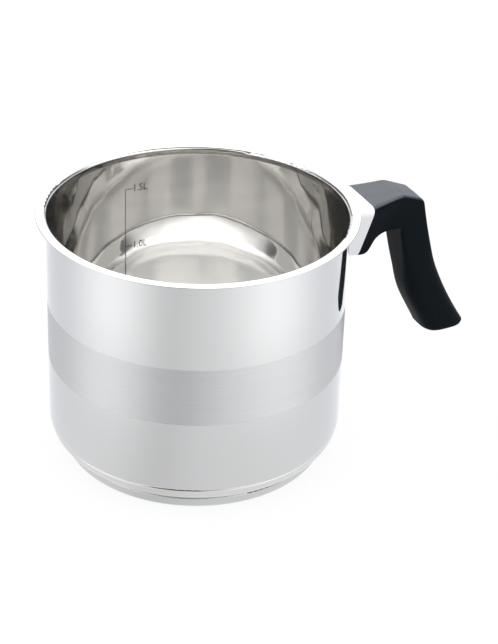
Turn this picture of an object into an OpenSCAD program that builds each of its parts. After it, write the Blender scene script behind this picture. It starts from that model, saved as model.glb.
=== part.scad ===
// Candle melting pot: a drawn stainless steel pouring pot with a capsule base and one moulded handle.
// Millimetres. +Z is up, the origin is the middle of the face that the pot stands on, and the
// handle points along +X. Profiles are drawn in the plane of the handle, as [x, z].

/* [Pot] */
// Outside diameter of the wall
pot_d = 142; // [125:1:170]
// Height from the standing face to the top of the rim
pot_h = 124.8; // [118:0.2:160]
// Thickness of the drawn sheet
sheet_t = 0.7; // [0.5:0.1:1.2]
// Outside radius of the corner between wall and bottom
corner_r = 14; // [9:1:16]

/* [Rim] */
// How far the rim stands out past the wall
rim_out = 4.7; // [4:0.1:7]
// Radius of the bend from the inside of the wall to the top of the rim
rim_bend_r = 2; // [1.5:0.1:4]

/* [Base] */
// Diameter of the capsule base
base_d = 127.6; // [105:0.2:132]
// Height of the pot's bottom above the standing face
base_h = 4.4; // [4:0.2:8]
// Radius of the base's lower edge
base_edge_r = 3.5; // [1.5:0.5:3.5]
// Thickness of the base's steel cap
cap_t = 0.6; // [0.4:0.1:1]
// Open seam between the lip of the cap and the pot
seam_gap = 0.4; // [0.2:0.1:0.6]

/* [Handle face] */
// Distance from the wall to the top of the handle's face
stand_off = 15; // [13.5:0.1:18]
// Depth of the handle's face below the rim
face_drop = 8.3; // [7:0.1:14]
// Height of the face
face_h = 30.2; // [28:0.1:34]
// Width of the face halfway up
face_w = 21.8; // [20:0.2:26]
// How much wider the face is at its top, as a share
face_taper = 0.48; // [0.36:0.01:0.52]
// Angle by which the face leans in towards the pot at its foot
face_tilt = 5.3; // [2:0.1:8]

/* [Handle neck] */
// Length of the straight top of the neck
neck_l = 16.5; // [15:0.5:20]
// Upward slope of the neck's top
neck_pitch = 5; // [4:0.2:7]
// Height from the neck's underside to the top of the face
neck_h = 17.3; // [16.4:0.1:18.6]
// Width of the neck
neck_w = 20.3; // [18:0.1:24]
// Radius of the crown, where the top turns down
crown_r = 6; // [5:0.5:12]
// Slope of the shoulder past the crown
shoulder_pitch = 20.8; // [16:0.1:24]
// Length of the straight shoulder
shoulder_l = 10.1; // [7:0.1:11]
// Radius of the knuckle at the back of the bend
knuckle_r = 4; // [3:0.2:7]
// Radius of the hollow under the neck
hollow_r = 9.9; // [7:0.1:10.4]
// Radius of the armpit, where the neck's underside meets the grip
armpit_r = 2.6; // [1.6:0.2:3.6]

/* [Grip] */
// Length of the back of the grip
grip_l = 77.6; // [70:0.2:84]
// Radius of the back's outward sweep
grip_r = 191; // [160:1:240]
// Length of the straight top of the inside
inside_l = 28.5; // [20:0.5:31]
// Radius of the bend that turns the inside outward
inside_r = 59; // [50:1:75]
// Angle of that bend
inside_turn = 17.9; // [14:0.1:20]
// Angle of the top of the grip from upright
grip_lean = 10.6; // [8:0.1:12]
// Thickness of the grip at its top
grip_t = 14.7; // [14:0.1:18]
// Width of the grip
grip_w = 24; // [21:0.2:26]
// How much shorter the inside of the grip is than its back
foot_slant = 16; // [13:0.2:19]
// Depth of the rounded foot
foot_depth = 4; // [3:0.1:6]

/* [Fastening] */
// Thread diameter of the handle screw
screw_d = 5; // [4:0.5:6]
// Depth of the screw below the top of the face
screw_drop = 8.8; // [8:0.2:9.6]
// Distance from the face to the washer's seat in the handle
seat_x = 20; // [17:0.5:23]
// Diameter of the screw's head
head_d = 8.4; // [7.5:0.1:9]
// Height of the screw's head
head_h = 3; // [2.5:0.1:4]
// Thickness of the lock washer
washer_t = 1.2; // [0.8:0.1:1.6]
// How far the screw reaches into the boss
thread_l = 9; // [7:0.5:10]
// Thickness of the sheet of the flame guard
guard_t = 0.8; // [0.6:0.1:1.2]
// Thickness of the welded saddle plate
saddle_t = 1.5; // [1:0.1:2]
// Width and height of the saddle plate
saddle_w = 15; // [13:0.5:17]
// Outside diameter of the threaded boss
boss_d = 10; // [9:0.5:11]

/* [Hidden] */

// Gap left between mating faces
fit_gap = 0.1;
// Radial clearance of the screw in its holes, and of its head in the counterbore
hole_gap = 0.3;
head_gap = 0.7;
// Bore that stands for the thread, a little wider than the screw
thread_gap = 0.05;
// Overlap of cutting shapes past what they cut
cut = 1;
// Roundness: 2 is an ellipse, higher is squarer
face_square = 8;
neck_square = 9;
grip_square = 3.1;
// How soon the face's flare dies out along the neck
flare_fade = 1.5;
// How far the foot draws in as it rounds off, as a share
foot_draw = 0.85;

steel = "silver";
core_metal = "gainsboro";
black = "#1b1c1e";

wall_r = pot_d / 2;
inner_r = wall_r - sheet_t;
flat_r = wall_r - corner_r;
base_r = base_d / 2;
rim_r = wall_r + rim_out;
rim_bend_x = inner_r + rim_bend_r;
// Height of the pot's underside at the edge of the base, which a wider base meets higher up the corner
seam_z = base_h + corner_r - sqrt(max(0, pow(corner_r, 2) - pow(max(0, base_r - flat_r), 2)));

face_top = [wall_r + stand_off, pot_h - face_drop];
face_foot = face_top - face_h * [sin(face_tilt), cos(face_tilt)];

$fn = 96;

// ---- Profiles made of straight runs and arcs, each joined smoothly to the last ----
// A run is [length, radius, turn]: radius 0 is straight, and a turn is anticlockwise when positive.

function run_len(run) = run[1] == 0 ? run[0] : run[1] * abs(run[2]) * PI / 180;
function path_len(runs, i = 0) = i == len(runs) ? 0 : run_len(runs[i]) + path_len(runs, i + 1);

// Point and heading [x, z, angle] after going s along one run from a place
function along_run(from, run, s) =
    run[1] == 0
    ? [from[0] + s * cos(from[2]), from[1] + s * sin(from[2]), from[2]]
    : let (side = sign(run[2]), turned = side * s / run[1] * 180 / PI)
      [from[0] + side * run[1] * (sin(from[2] + turned) - sin(from[2])),
       from[1] - side * run[1] * (cos(from[2] + turned) - cos(from[2])),
       from[2] + turned];

// The same along a whole path
function along(from, runs, s, i = 0) =
    let (length = run_len(runs[i]))
    s <= length || i == len(runs) - 1
    ? along_run(from, runs[i], s)
    : along(along_run(from, runs[i], length), runs, s - length, i + 1);

function mix(a, b, t) = a + (b - a) * t;
function ease(t) = t * t * (3 - 2 * t);

// ---- The handle's two profiles, from the face to the foot ----

grip_heading = grip_lean - 90;
back_start = [face_top[0], face_top[1], neck_pitch];
back_runs = [
    [neck_l, 0, 0],
    [0, crown_r, -(neck_pitch + shoulder_pitch)],
    [shoulder_l, 0, 0],
    [0, knuckle_r, grip_heading + shoulder_pitch],
    [0, grip_r, grip_l / grip_r * 180 / PI]
];
back_neck = path_len([for (i = [0:2]) back_runs[i]]);
back_bend = path_len([for (i = [0:3]) back_runs[i]]);
back_end = path_len(back_runs);

// The underside leaves the face along a lip, climbs a riser and hollows out to the armpit
lip_l = 2;
lip_r = 3;
riser_pitch = 75;
under_start = [face_foot[0], face_foot[1], 0];
// The inside of the grip starts one thickness in from the back of the bend
bend_back = along(back_start, back_runs, back_bend);
grip_in = [bend_back[0], bend_back[1]] + grip_t * [sin(grip_heading), -cos(grip_heading)];
// The armpit's arc starts level under the neck and ends on the inside of the grip
under_z = face_top[1] - neck_h;
armpit_end_z = under_z - armpit_r * (1 - cos(grip_heading));
armpit_x = grip_in[0] + (armpit_end_z - grip_in[1]) / tan(grip_heading) + armpit_r * sin(grip_heading);
riser_l = (under_z - face_foot[1] - (lip_r + hollow_r) * (1 - cos(riser_pitch))) / sin(riser_pitch);
level_l = armpit_x - face_foot[0] - lip_l - (lip_r + hollow_r) * sin(riser_pitch)
    - riser_l * cos(riser_pitch);
under_runs = [
    [lip_l, 0, 0],
    [0, lip_r, riser_pitch],
    [riser_l, 0, 0],
    [0, hollow_r, -riser_pitch],
    [level_l, 0, 0],
    [0, armpit_r, grip_heading],
    [inside_l, 0, 0],
    [0, inside_r, inside_turn],
    [grip_l - foot_slant - inside_l - inside_r * inside_turn * PI / 180, 0, 0]
];
under_neck = path_len([for (i = [0:4]) under_runs[i]]);
under_bend = path_len([for (i = [0:5]) under_runs[i]]);
under_end = path_len(under_runs);

// One closed ring from an inner point to an outer point of the two profiles. half_w is its half width,
// taper widens it towards the outer point, and square is its roundness. The outline turns by about
// as much from each point to the next, so that its corners are as smooth as its sides.
function ring_shape(half_w, taper, square, a) =
    let (even = 1 / (2 - 2 / square),
         c = pow(abs(cos(a)), even),
         s = pow(abs(sin(a)), even),
         across = sign(cos(a)) * pow(c / norm([c, s]), 2 / square),
         up = sign(sin(a)) * pow(s / norm([c, s]), 2 / square))
    [half_w * across * (1 + taper * up), up];

RING_SIDES = 48;
SHEET_SIDES = 2 * RING_SIDES;
function ring(inner, outer, half_w, taper, square) =
    [for (i = [0:RING_SIDES - 1])
        let (p = ring_shape(half_w, taper, square, i * 360 / RING_SIDES),
             m = (inner + outer) / 2 + (outer - inner) / 2 * p[1])
        [m[0], p[0], m[1]]];

function handle_ring(back_s, under_s, half_w, taper, square) =
    let (o = along(back_start, back_runs, back_s), i = along(under_start, under_runs, under_s))
    ring([i[0], i[1]], [o[0], o[1]], half_w, taper, square);

NECK_RINGS = 16;
BEND_RINGS = 12;
GRIP_RINGS = 20;
FOOT_RINGS = 5;

neck_rings = [for (i = [0:NECK_RINGS - 1]) let (t = i / NECK_RINGS, flare = pow(1 - t, flare_fade))
    handle_ring(t * back_neck, t * under_neck, mix(neck_w, face_w, flare) / 2, face_taper * flare,
                mix(face_square, neck_square, t))];
bend_rings = [for (i = [0:BEND_RINGS - 1]) let (t = i / BEND_RINGS)
    handle_ring(mix(back_neck, back_bend, t), mix(under_neck, under_bend, t), neck_w / 2, 0,
                neck_square)];
grip_rings = [for (i = [0:GRIP_RINGS]) let (t = i / GRIP_RINGS)
    handle_ring(mix(back_bend, back_end, t), mix(under_bend, under_end, t),
                mix(neck_w, grip_w, ease(t)) / 2, 0, mix(neck_square, grip_square, ease(min(1, 2 * t))))];

// The foot closes in rings that draw in and sink along a quarter of an ellipse
foot_out = along(back_start, back_runs, back_end);
foot_in = along(under_start, under_runs, under_end);
foot_mid = [foot_in[0] + foot_out[0], foot_in[1] + foot_out[1]] / 2;
foot_reach = [foot_out[0] - foot_in[0], foot_out[1] - foot_in[1]] / 2;
foot_down = [foot_reach[1], -foot_reach[0]] / norm(foot_reach);
foot_rings = [for (i = [1:FOOT_RINGS])
    let (a = i * 90 / FOOT_RINGS,
         share = 1 - (1 - cos(a)) * foot_draw,
         middle = foot_mid + foot_down * foot_depth * sin(a))
    ring(middle - foot_reach * share, middle + foot_reach * share, grip_w / 2 * share, 0, grip_square)];

// Joins rings of equal count into a closed solid
module loft(rings) {
    sides = len(rings[0]);
    last = len(rings) - 1;
    points = [for (r = rings) each r];
    walls = [for (k = [0:last - 1], i = [0:sides - 1])
        let (a = k * sides + i, b = k * sides + (i + 1) % sides)
        each [[a, a + sides, b], [b, a + sides, b + sides]]];
    start_cap = [for (i = [0:sides - 1]) i];
    end_cap = [for (i = [sides - 1:-1:0]) last * sides + i];
    polyhedron(points, concat(walls, [start_cap, end_cap]), convexity = 6);
}

// ---- Placing things on the handle's face and along its screw ----

// Local frame on the face: X out along the screw, Z up the face, origin at the top of the face
module on_face() {
    translate([face_top[0], 0, face_top[1]]) rotate([0, face_tilt, 0]) children();
}

// Local frame on the screw: Z out along the screw, origin where it crosses the face
module on_screw() {
    on_face() translate([0, 0, -screw_drop]) rotate([0, 90, 0]) children();
}

// The face's outline, drawn in by inset
module face_outline(inset) {
    polygon([for (i = [0:SHEET_SIDES - 1])
        let (p = ring_shape(face_w / 2 - inset, face_taper, face_square, i * 360 / SHEET_SIDES))
        [p[0], -face_h / 2 + (face_h / 2 - inset) * p[1]]]);
}

// A bar with the face's outline that ends at x and runs back towards the pot
module face_bar(inset, x, length) {
    on_face() translate([x - length, 0, 0]) rotate([90, 0, 90]) linear_extrude(length) face_outline(inset);
}

module wall_cylinder(clearance) {
    translate([0, 0, -cut]) cylinder(h = pot_h, r = wall_r + clearance, $fn = 180);
}

// ---- Pieces ----

// A quarter of a sheet bend around [x, z], from radius small to radius large
module bend_2d(x, z, small, large, from) {
    translate([x, z]) intersection() {
        difference() {
            circle(r = large);
            if (small > 0) circle(r = small);
        }
        rotate(from) square(large + cut);
    }
}

module pot_shell() {
    corner_z = base_h + corner_r;
    bend_z = pot_h - rim_bend_r;
    edge_x = rim_r - sheet_t / 2;
    color(steel) rotate_extrude($fn = 180) {
        // Bottom, its corner and the wall
        translate([0, base_h]) square([flat_r, sheet_t]);
        bend_2d(flat_r, corner_z, corner_r - sheet_t, corner_r, 270);
        translate([inner_r, corner_z]) square([sheet_t, bend_z - corner_z]);
        // Rim, with a rounded edge
        bend_2d(rim_bend_x, bend_z, rim_bend_r - sheet_t, rim_bend_r, 90);
        translate([rim_bend_x, pot_h - sheet_t]) square([edge_x - rim_bend_x, sheet_t]);
        for (from = [270, 0]) bend_2d(edge_x, pot_h - sheet_t / 2, 0, sheet_t / 2, from);
    }
}

module base_core() {
    edge_r = base_edge_r - cap_t;
    core_r = base_r - cap_t - fit_gap;
    color(core_metal) rotate_extrude($fn = 180) {
        translate([0, cap_t]) square([core_r - edge_r, base_h - cap_t]);
        translate([core_r - edge_r, base_edge_r]) square([edge_r, base_h - base_edge_r]);
        bend_2d(core_r - edge_r, base_edge_r, 0, edge_r, 270);
    }
}

module base_cap() {
    round_r = cap_t / 2;
    round_z = seam_z - seam_gap - round_r;
    color(steel) rotate_extrude($fn = 180) {
        square([base_r - base_edge_r, cap_t]);
        bend_2d(base_r - base_edge_r, base_edge_r, base_edge_r - cap_t, base_edge_r, 270);
        // The wall's lip is rounded and stops short of the pot
        difference() {
            union() {
                translate([base_r - cap_t, base_edge_r]) square([cap_t, round_z - base_edge_r]);
                for (from = [0, 90]) bend_2d(base_r - round_r, round_z, 0, round_r, from);
            }
            translate([flat_r, base_h + corner_r]) circle(r = corner_r + fit_gap);
        }
    }
}

module saddle_bracket() {
    color(steel) difference() {
        union() {
            // Plate bent to the wall
            intersection() {
                wall_cylinder(saddle_t + fit_gap);
                on_screw() translate([-saddle_w / 2, -saddle_w / 2, -2 * stand_off])
                    cube([saddle_w, saddle_w, 2 * stand_off]);
            }
            // Threaded boss
            on_screw() translate([0, 0, -2 * stand_off])
                cylinder(h = 2 * stand_off - guard_t - fit_gap, d = boss_d);
        }
        wall_cylinder(fit_gap);
        on_screw() translate([0, 0, -guard_t - thread_l - cut])
            cylinder(h = thread_l + 2 * cut, r = screw_d / 2 + thread_gap);
    }
}

module flame_guard() {
    reach = 2 * stand_off;
    color(steel) difference() {
        face_bar(0, 0, reach);
        face_bar(guard_t, -guard_t, reach);
        wall_cylinder(fit_gap);
        on_screw() translate([0, 0, -guard_t - cut])
            cylinder(h = guard_t + 2 * cut, r = screw_d / 2 + hole_gap);
    }
}

module handle() {
    color(black) difference() {
        translate([fit_gap, 0, 0]) loft(concat(neck_rings, bend_rings, grip_rings, foot_rings));
        on_screw() translate([0, 0, -cut]) cylinder(h = seat_x + 2 * cut, r = screw_d / 2 + hole_gap);
        on_screw() translate([0, 0, seat_x]) cylinder(h = 2 * grip_t + crown_r, r = head_d / 2 + head_gap);
    }
}

module handle_screw() {
    head_z = seat_x + washer_t;
    slot_w = head_d / 7;
    slot_l = head_d * 0.6;
    color(steel) difference() {
        on_screw() {
            translate([0, 0, -guard_t - thread_l]) cylinder(h = head_z + guard_t + thread_l, d = screw_d);
            // Pan head with a rounded edge
            translate([0, 0, head_z]) rotate_extrude() {
                square([head_d / 2, head_h / 2]);
                square([(head_d - head_h) / 2, head_h]);
                translate([(head_d - head_h) / 2, head_h / 2]) circle(d = head_h);
            }
        }
        // Cross recess
        on_screw() translate([0, 0, head_z + head_h / 2]) for (a = [0, 90]) rotate(a)
            translate([-slot_l / 2, -slot_w / 2, 0]) cube([slot_l, slot_w, head_h]);
    }
}

module lock_washer() {
    split_w = 1;
    color(steel) on_screw() translate([0, 0, seat_x]) difference() {
        cylinder(h = washer_t, d = head_d);
        translate([0, 0, -cut]) cylinder(h = washer_t + 2 * cut, r = screw_d / 2 + fit_gap);
        // The slanted split of a spring washer
        translate([0, -split_w / 2, -cut]) rotate([20, 0, 0]) cube([head_d, split_w, washer_t + 3 * cut]);
    }
}

pot_shell();
base_core();
base_cap();
saddle_bracket();
flame_guard();
handle();
handle_screw();
lock_washer();
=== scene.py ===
from math import cos, pi, radians, sin

import bpy
from mathutils import Matrix, Vector


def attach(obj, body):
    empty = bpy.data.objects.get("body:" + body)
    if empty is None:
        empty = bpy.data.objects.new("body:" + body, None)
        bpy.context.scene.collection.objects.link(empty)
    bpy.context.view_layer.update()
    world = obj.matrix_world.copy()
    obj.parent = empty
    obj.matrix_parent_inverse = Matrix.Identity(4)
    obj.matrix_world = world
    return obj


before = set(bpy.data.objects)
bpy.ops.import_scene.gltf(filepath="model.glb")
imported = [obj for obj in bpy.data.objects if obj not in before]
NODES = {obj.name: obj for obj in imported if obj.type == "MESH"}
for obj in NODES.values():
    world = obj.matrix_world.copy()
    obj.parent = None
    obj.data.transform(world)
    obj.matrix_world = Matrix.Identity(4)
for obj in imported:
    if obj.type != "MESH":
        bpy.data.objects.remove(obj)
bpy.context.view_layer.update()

MM = 0.001

# The pot, as the drawing has it
SHEET = 0.7 * MM
INNER_R = 70.3 * MM
RIM_Z = 124.8 * MM
FLOOR_Z = 5.1 * MM
WELD_Z = 106.8 * MM

# The brushed band round the outside, and half the width of its soft edges
BAND_LOW, BAND_HIGH = 51.1 * MM, 80.1 * MM
BAND_EDGE = 0.12 * MM

# The crease inside, where the wall ends, and how far down the steep slope under it reaches
CREASE_Z, CREASE_H = 18.9 * MM, 9.9 * MM

# The drawn wall's unevenness: heights of its forms, and the share of them that shows outside
SWELL_H, RIPPLE_H, STREAK_H = 1.2 * MM, 0.12 * MM, 0.005 * MM
UNEVEN_OUTSIDE = 0.1
WALL_LEAN = 0.004
WELD_R, WELD_H = 12 * MM, 0.4 * MM
GRAIN_H = 0.004 * MM


# ---------------------------------------------------------------- shader maths

class Val:
    """A socket whose value takes part in a Python expression."""

    def __init__(self, net, socket):
        self.net = net
        self.socket = socket

    def maths(self, operation, *others):
        node = self.net.tree.nodes.new("ShaderNodeMath")
        node.operation = operation
        for place, value in zip(node.inputs, (self, *others)):
            self.net.feed(place, value)
        return Val(self.net, node.outputs[0])

    def __add__(self, other): return self.maths("ADD", other)
    def __mul__(self, other): return self.maths("MULTIPLY", other)
    def __sub__(self, other): return self.maths("SUBTRACT", other)
    def __truediv__(self, other): return self.maths("DIVIDE", other)
    def __pow__(self, other): return self.maths("POWER", other)
    def __radd__(self, other): return self + other
    def __rsub__(self, other): return (self * -1) + other
    def above(self, edge): return self.maths("GREATER_THAN", edge)
    def least(self, other): return self.maths("MINIMUM", other)
    def most(self, other): return self.maths("MAXIMUM", other)
    def root(self): return self.maths("SQRT")

    def ramp(self, low, high, start=0.0, end=1.0):
        """Start up to low, end from high, eased between."""
        return self.net.add("ShaderNodeMapRange", {"interpolation_type": "SMOOTHSTEP"},
                            {"Value": self, "From Min": low, "From Max": high,
                             "To Min": start, "To Max": end})


def pool(value, middle, width):
    """A soft hump that is 1 at its middle."""
    return (((value - middle) / width) ** 2 * -1).maths("EXPONENT")


class Net:
    """A node tree that is filled from Python."""

    def __init__(self, tree, output_kind):
        self.tree = tree
        tree.nodes.clear()
        self.output = tree.nodes.new(output_kind)

    def feed(self, socket, value):
        if isinstance(value, Val):
            self.tree.links.new(value.socket, socket)
        else:
            socket.default_value = value

    def add(self, kind, settings=None, sockets=None, out=0):
        """A node of any kind: its settings first, then the values or links of its sockets."""
        node = self.tree.nodes.new(kind)
        for key, value in (settings or {}).items():
            setattr(node, key, value)
        for key, value in (sockets or {}).items():
            self.feed(node.inputs[key], value)
        return Val(self, node.outputs[out])

    def split(self, vector):
        node = self.tree.nodes.new("ShaderNodeSeparateXYZ")
        self.feed(node.inputs[0], vector)
        return [Val(self, out) for out in node.outputs]

    def join(self, x, y, z):
        return self.add("ShaderNodeCombineXYZ", None, {"X": x, "Y": y, "Z": z})

    def vector(self, operation, *values):
        return self.add("ShaderNodeVectorMath", {"operation": operation}, dict(enumerate(values)))

    def noise(self, vector, scale, detail=2.0, rough=0.5):
        return self.add("ShaderNodeTexNoise", None,
                        {"Vector": vector, "Scale": scale, "Detail": detail, "Roughness": rough})

    def colour(self, share, first, second):
        """A colour between two colours."""
        return self.add("ShaderNodeMix", {"data_type": "RGBA"}, {0: share, 6: first, 7: second}, out=2)

    def mixed(self, share, first, second):
        return self.add("ShaderNodeMixShader", None, {0: share, 1: first, 2: second})

    def seen(self, ray):
        return self.add("ShaderNodeLightPath", out=ray)

    def close(self, shader):
        self.tree.links.new(shader.socket, self.output.inputs["Surface"])


class Finish(Net):
    """A material and the nodes that make it."""

    def __init__(self, name):
        self.material = bpy.data.materials.new(name)
        self.material.use_nodes = True
        super().__init__(self.material.node_tree, "ShaderNodeOutputMaterial")
        self.place = self.add("ShaderNodeTexCoord", out="Object")

    def stretched(self, *scale):
        """The place, scaled along x, y and z. A small scale draws a pattern out."""
        return self.vector("MULTIPLY", self.place, scale)

    def facing(self):
        """The surface's normal."""
        return self.add("ShaderNodeNewGeometry", out="Normal")

    def bump(self, height, under=None):
        """Height is in metres. Under is the normal of a coarser shape that this one lies on."""
        sockets = {"Height": height, "Distance": 1.0, "Strength": 1.0}
        if under:
            sockets["Normal"] = under
        return self.add("ShaderNodeBump", None, sockets)

    def surface(self, **sockets):
        return self.add("ShaderNodeBsdfPrincipled", None,
                        {key.replace("_", " "): value for key, value in sockets.items()})

    def made(self, shader):
        self.close(shader)
        return self.material


def rgb(r, g, b):
    return (r, g, b, 1.0)


def dress(piece, material):
    piece.data.materials.clear()
    piece.data.materials.append(material)


# ---------------------------------------------------------------- finishes

def wall_shape(f, x, y, z, depth, inside):
    """The normal of the drawn wall, which isn't perfectly straight or round."""
    # It meets the bottom with a crease and then a steep slope, not with an even curve
    sunk = (depth / CREASE_H).most(0).least(1)
    steep = depth.ramp(-0.3 * MM, 0, 0, 0.22) + depth.ramp(1.1 * MM, 1.7 * MM, 0, 0.48)
    tilt = (1 - sunk * sunk) * inside * steep
    # Just under the rim it starts to flare
    flare = (z.ramp(RIM_Z - 4.6 * MM, RIM_Z - 4.2 * MM, 0, 0.1)
             + z.ramp(RIM_Z - 3 * MM, RIM_Z - 2 * MM, 0, 0.03))
    tilted = f.vector("ADD", f.facing(), f.join(0, 0, tilt + flare * inside))
    # Slow swells, short ripples and fine upright streaks bend what it mirrors
    swell = f.noise(f.stretched(1, 1, 0.55), 17, 1.5, 0.4) - 0.5
    ripple = f.noise(f.stretched(1, 1, 0.3), 60, 1, 0.4) - 0.5
    streak = f.noise(f.stretched(1, 1, 0.04), 450, 2)
    uneven = swell * SWELL_H + ripple * RIPPLE_H + streak * STREAK_H
    shown = inside * (1 - UNEVEN_OUTSIDE) + UNEVEN_OUTSIDE
    lean = (RIM_Z - z) * WALL_LEAN * inside
    # Welding the handle's saddle on has drawn the wall out a little
    from_weld = (x - INNER_R) ** 2 + y ** 2 + (z - WELD_Z) ** 2
    weld = (from_weld / WELD_R ** 2 * -1).maths("EXPONENT") * inside
    return f.bump(uneven * shown + lean - weld * WELD_H, under=f.vector("NORMALIZE", tilted))


def polish(f, x, y, z, inside):
    depth = CREASE_Z - z
    # Two thin dark bands along the crease are painted dark reflections: the base colour is darkened there
    painted_crease_reflections = (pool(depth, -0.35 * MM, 0.3 * MM) + pool(depth, 1.05 * MM, 0.4 * MM)) * inside
    steel = f.colour(inside, rgb(0.6, 0.598, 0.595), rgb(0.65, 0.64, 0.625))
    haze = f.noise(f.stretched(1, 1, 0.35), 60, 3)
    return f.surface(Base_Color=f.colour(painted_crease_reflections.least(1) * 0.8, steel, rgb(0.07, 0.068, 0.065)),
                     Metallic=0.98, Roughness=haze * 0.02 + 0.025,
                     Normal=wall_shape(f, x, y, z, depth, inside))


def half_satin(f):
    """Two lobes, one nearly clear and one wide, mixed in clouds."""
    # Painted light: both lobes are far lighter than the wall's steel, to brighten the bottom inside
    clear = f.surface(Base_Color=rgb(0.93, 0.925, 0.915), Metallic=1.0, Roughness=0.1)
    satin = f.surface(Base_Color=rgb(0.96, 0.955, 0.945), Metallic=1.0, Roughness=0.8)
    return f.mixed(f.noise(f.place, 40, 2) * 0.3 + 0.55, clear, satin)


def brushing(f):
    """Hairlines run round the band, so they change fast with height and slowly along the wall."""
    hair = f.noise(f.stretched(5, 5, 800), 14, 3, 0.7)
    drift = f.noise(f.stretched(3, 3, 200), 12, 2, 0.6)
    return f.surface(Base_Color=f.colour(drift, rgb(0.56, 0.56, 0.565), rgb(0.64, 0.638, 0.635)),
                     Metallic=1.0, Roughness=hair * 0.12 + 0.42,
                     Anisotropic=0.85, Anisotropic_Rotation=0.25, Normal=f.bump(hair * GRAIN_H))


def pot_steel():
    """Polished inside and out, half satin on the bottom inside, with a brushed band round the outside."""
    f = Finish("polished pot steel")
    x, y, z = f.split(f.place)
    outside = (x * x + y * y).root().above(INNER_R + SHEET / 2)
    inside = 1 - outside
    band = (z.ramp(BAND_LOW - BAND_EDGE, BAND_LOW + BAND_EDGE)
            * z.ramp(BAND_HIGH - BAND_EDGE, BAND_HIGH + BAND_EDGE, 1, 0) * outside)
    bottom = z.ramp(FLOOR_Z + 0.4 * MM, FLOOR_Z + 1.2 * MM, 1, 0) * inside
    within = f.mixed(bottom, polish(f, x, y, z, inside), half_satin(f))
    return f.made(f.mixed(band, within, brushing(f)))


def plain_steel(name, colour, roughness):
    f = Finish(name)
    cloud = f.noise(f.place, 900, 2)
    return f.made(f.surface(Base_Color=rgb(*colour), Metallic=1.0, Roughness=cloud * 0.06 + roughness))


def black_moulding():
    """Dull all round, with a painted sheen on top: where the surface faces up, the base colour is painted lighter
    and bluish and a coat is added.
    """
    f = Finish("satin black moulding")
    grain = f.noise(f.place, 5200, 2, 0.6)
    drift = f.noise(f.place, 70, 2)
    _, _, up = f.split(f.facing())
    # Painted sheen: the upward faces are lighter and bluish because of how light falls on them
    painted_top_sheen = up.ramp(0.55, 0.9) * (drift * 0.3 + 0.8)
    return f.made(f.surface(Base_Color=f.colour(painted_top_sheen, rgb(0.005, 0.007, 0.009), rgb(0.008, 0.014, 0.026)),
                            Roughness=drift * 0.05 + 0.45, Specular_IOR_Level=0.02,
                            Coat_Weight=painted_top_sheen.least(1), Coat_Roughness=0.4, Coat_IOR=1.5,
                            Normal=f.bump(grain * GRAIN_H)))


def etched_mark():
    f = Finish("etched scale")
    bite = f.noise(f.place, 2600, 3, 0.6)
    return f.made(f.surface(Base_Color=f.colour(bite, rgb(0.05, 0.04, 0.035), rgb(0.16, 0.14, 0.12)),
                            Metallic=0.4, Roughness=bite * 0.2 + 0.45))


dress(NODES["pot_shell"], pot_steel())
dress(NODES["base_cap"], plain_steel("polished base steel", (0.56, 0.565, 0.57), 0.14))
dress(NODES["base_core"], plain_steel("bare aluminium", (0.78, 0.78, 0.80), 0.35))
dress(NODES["flame_guard"], plain_steel("guard steel", (0.72, 0.715, 0.71), 0.3))
dress(NODES["saddle_bracket"], plain_steel("bracket steel", (0.58, 0.58, 0.58), 0.3))
dress(NODES["handle_screw"], plain_steel("nickel plating", (0.66, 0.64, 0.60), 0.2))
dress(NODES["lock_washer"], plain_steel("zinc plating", (0.55, 0.56, 0.58), 0.3))
dress(NODES["handle"], black_moulding())


# ---------------------------------------------------------------- scale inside the pot

SCALE_AT = 97.2           # degrees round the pot from the handle to the scale's upright line
SCALE_Z = {"1.5L": 104.6 * MM, "1.0L": 72.8 * MM, "0.5L": 41.1 * MM}
LINE_W = 0.42 * MM
TICK = 3.7 * MM
TICK_CUTS = 4
TEXT_GAP = 0.4 * MM
TEXT_SIZE = 5.304 * MM
TEXT_NARROW = 0.83
TEXT_SPACING = 1.04
TEXT_BOLD = 0.05 * MM
PROUD = 0.05 * MM


def nothing_selected():
    if bpy.context.mode != "OBJECT":
        bpy.ops.object.mode_set(mode="OBJECT")
    bpy.ops.object.select_all(action="DESELECT")


def onto_wall(piece):
    """Wraps a flat piece on the inside of the wall: x runs round to the reader's right, y is up and z is depth."""
    for point in piece.data.vertices:
        angle = radians(SCALE_AT) - point.co.x / INNER_R
        out = INNER_R - point.co.z
        point.co = (out * cos(angle), out * sin(angle), point.co.y)


def strip(x0, x1, y0, y1, cuts):
    """A thin bar, cut across so that it can follow the wall."""
    nothing_selected()
    bpy.ops.mesh.primitive_cube_add(size=1, location=((x0 + x1) / 2, (y0 + y1) / 2, 0),
                                    scale=(x1 - x0, y1 - y0, 2 * PROUD))
    bar = bpy.context.active_object
    bpy.ops.object.transform_apply(location=True, rotation=True, scale=True)
    bpy.ops.object.mode_set(mode="EDIT")
    for cut in range(1, cuts):
        bpy.ops.mesh.select_all(action="SELECT")
        bpy.ops.mesh.bisect(plane_co=(x0 + (x1 - x0) * cut / cuts, 0, 0), plane_no=(1, 0, 0))
    bpy.ops.object.mode_set(mode="OBJECT")
    return bar


def label(words, x, y):
    nothing_selected()
    bpy.ops.object.text_add(location=(0, 0, 0))
    text = bpy.context.active_object
    text.data.body = words
    text.data.align_y = "CENTER"
    text.data.size = TEXT_SIZE
    text.data.extrude = PROUD
    text.data.offset = TEXT_BOLD
    text.data.space_character = TEXT_SPACING
    text.location = (x, y, 0)
    text.scale = (TEXT_NARROW, 1, 1)
    bpy.ops.object.convert(target="MESH")
    text = bpy.context.active_object
    bpy.ops.object.transform_apply(location=True, rotation=True, scale=True)
    return text


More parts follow.
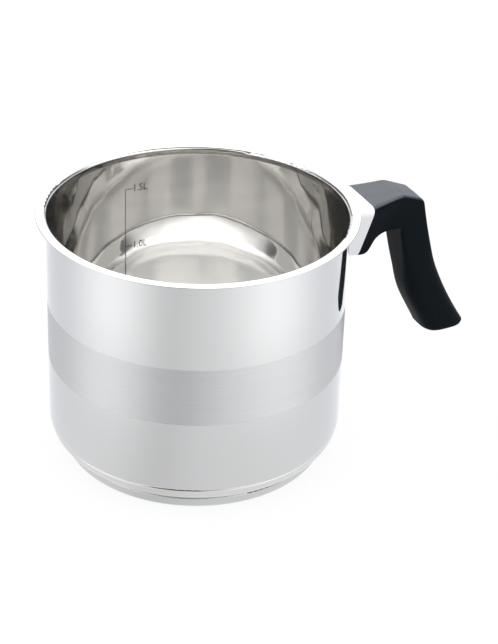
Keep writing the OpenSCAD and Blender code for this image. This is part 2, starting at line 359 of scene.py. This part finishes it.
def volume_scale():
    low, high = min(SCALE_Z.values()), max(SCALE_Z.values())
    parts = [strip(-LINE_W / 2, LINE_W / 2, low - LINE_W / 2, high + LINE_W / 2, 1)]
    for words, z in SCALE_Z.items():
        parts.append(strip(LINE_W / 2, TICK, z - LINE_W / 2, z + LINE_W / 2, TICK_CUTS))
        parts.append(label(words, TICK + TEXT_GAP, z))
    for part in parts:
        onto_wall(part)
    nothing_selected()
    for part in parts:
        part.select_set(True)
    bpy.context.view_layer.objects.active = parts[0]
    bpy.ops.object.join()
    marks = bpy.context.active_object
    bpy.ops.object.mode_set(mode="EDIT")
    bpy.ops.mesh.select_all(action="SELECT")
    bpy.ops.mesh.normals_make_consistent(inside=False)
    bpy.ops.object.mode_set(mode="OBJECT")
    marks.name = marks.data.name = "volume_scale"
    dress(marks, etched_mark())
    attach(marks, "root")


volume_scale()


# ---------------------------------------------------------------- studio

CAMERA_SIDE = -24.0       # degrees from the pot's front to the camera's side, before the camera's own turn
CAMERA_PLACE = Vector((-323.1, -725.7, 522.3)) * MM
CAMERA_YAW, CAMERA_PITCH, CAMERA_ROLL = 1.83, 29.92, 2.0
LENS = 106.56
SENSOR = 36
POT_MIDDLE = (0, 0, 0.06)
TABLE_R = 3.0
TABLE_LEVEL = 1.225       # how bright the table's glow shows in the steel, away from its painted pools and painted shade


def from_camera(angle, distance, height):
    """A place round the pot at an angle from the camera's side, positive to the camera's right."""
    heading = radians(CAMERA_SIDE + angle)
    return (distance * sin(heading), -distance * cos(heading), height)


def angle_round(x, y):
    """Degrees round the pot from the camera's side, as from_camera counts them."""
    side, front = Vector(from_camera(90, 1, 0)), Vector(from_camera(0, 1, 0))
    return (x * side.x + y * side.y).maths("ARCTAN2", x * front.x + y * front.y) * (180 / pi)


def card(name, place, width, height, brightness):
    light = bpy.data.lights.new(name, "AREA")
    light.shape = "RECTANGLE"
    light.size, light.size_y = width, height
    light.energy = brightness * pi * width * height
    lamp = bpy.data.objects.new(name, light)
    bpy.context.scene.collection.objects.link(lamp)
    lamp.location = place
    lamp.visible_camera = lamp.visible_glossy = False
    lamp.rotation_euler = (Vector(POT_MIDDLE) - Vector(place)).to_track_quat("-Z", "Y").to_euler()


def studio_floor():
    """A white table. In the steel it shows painted pools of light and a painted shade: its glow, seen only in
    reflections, is brighter left, right and behind and darker toward the camera, with a painted tint.
    """
    nothing_selected()
    bpy.ops.mesh.primitive_circle_add(vertices=96, radius=TABLE_R, fill_type="NGON", location=(0, 0, 0))
    floor = bpy.context.active_object
    floor.name = "studio_floor"
    f = Finish("white table")
    x, y, _ = f.split(f.place)
    angle = angle_round(x, y)
    # Painted pools of light, a painted shade and a painted tint in the glow that the steel mirrors
    away = (x * x + y * y).root().ramp(100 * MM, 260 * MM)
    left = pool(angle, -60, 30) * (away * 0.36 + 0.07)
    right = pool(angle, 54, 33) * (away * 0.38 + 0.07)
    shade = pool(angle, -18, 16) * 0.1
    behind = pool(angle, 165, 45) * 0.2 + pool(angle, -175, 30) * 0.2
    light = 0.8 + left + right - shade + behind
    tint = f.colour(angle.maths("ABSOLUTE").ramp(50, 100), rgb(0.985, 0.995, 1.01), rgb(0.965, 0.99, 1.03))
    cloth = f.surface(Base_Color=rgb(0.9, 0.9, 0.9), Roughness=0.9)
    glow = f.add("ShaderNodeEmission", None, {"Color": rgb(1, 1, 1), "Strength": 1.0})
    mirrored = f.add("ShaderNodeEmission", None, {"Color": tint, "Strength": light * TABLE_LEVEL})
    lit = f.mixed(f.seen("Is Glossy Ray"), cloth, mirrored)
    dress(floor, f.made(f.mixed(f.seen("Is Camera Ray") * 0.9, lit, glow)))


def studio_world():
    """What the steel mirrors: softboxes with soft edges all round, and a darker gap round the camera."""
    world = bpy.data.worlds.new("studio")
    bpy.context.scene.world = world
    world.use_nodes = True
    net = Net(world.node_tree, "ShaderNodeOutputWorld")
    x, y, z = net.split(net.add("ShaderNodeTexCoord", out="Generated"))
    angle = angle_round(x, y)
    height = z.maths("ARCSINE") * (180 / pi)
    around = angle.maths("ABSOLUTE")
    # All in degrees. First the boxes, then what is dark in front of them or between them
    boxes = height.ramp(12, 27, 1.3, 3)
    over = (1.5 - pool(around, 180, 26)) * height.ramp(33, 40) * height.ramp(50, 75, 1, -1.4)
    camera = pool(angle, -11, 34) * height.ramp(20, 48, 1.2, 0)
    stand = pool(angle, -13, 13) * height.ramp(18, 38, 1.8, 0)
    sides = around.ramp(45, 75, 1.2, 0) * height.ramp(31, 37) * height.ramp(60, 75, 1, 0)
    back = around.ramp(80, 110) * around.ramp(152, 170, 1, 0) * height.ramp(10, 16) * height.ramp(31, 37, 2.6, 0)
    light = (boxes - over - camera - stand - sides - back).most(0.05)
    mirrored = net.add("ShaderNodeBackground", None, {"Color": rgb(0.98, 0.99, 1.0), "Strength": light})
    room = net.add("ShaderNodeBackground", None, {"Color": rgb(0.95, 0.975, 1.0), "Strength": 0.6})
    white = net.add("ShaderNodeBackground", None, {"Color": rgb(1, 1, 1), "Strength": 1.0})
    unseen = net.mixed(net.seen("Is Glossy Ray"), room, mirrored)
    net.close(net.mixed(net.seen("Is Camera Ray"), unseen, white))


def studio_camera():
    data = bpy.data.cameras.new("camera")
    data.sensor_width = SENSOR
    data.lens = LENS
    camera = bpy.data.objects.new("camera", data)
    bpy.context.scene.collection.objects.link(camera)
    turn = (Matrix.Rotation(radians(CAMERA_SIDE - CAMERA_YAW), 4, "Z")
            @ Matrix.Rotation(radians(90 - CAMERA_PITCH), 4, "X")
            @ Matrix.Rotation(radians(CAMERA_ROLL), 4, "Z"))
    camera.matrix_world = Matrix.Translation(CAMERA_PLACE) @ turn
    bpy.context.scene.camera = camera


studio_floor()
studio_world()
studio_camera()
card("left softbox", from_camera(-75, 1.2, 0.62), 1.6, 1.2, 1.1)
card("right softbox", from_camera(57, 1.2, 0.62), 1.8, 1.2, 1.1)
card("back softbox", from_camera(178, 1.25, 0.75), 2.2, 0.6, 2.4)
card("top softbox", (0, 0, 1.3), 1.5, 1.5, 1.5)

scene = bpy.context.scene
scene.view_settings.view_transform = "Standard"
scene.cycles.glossy_bounces = 12
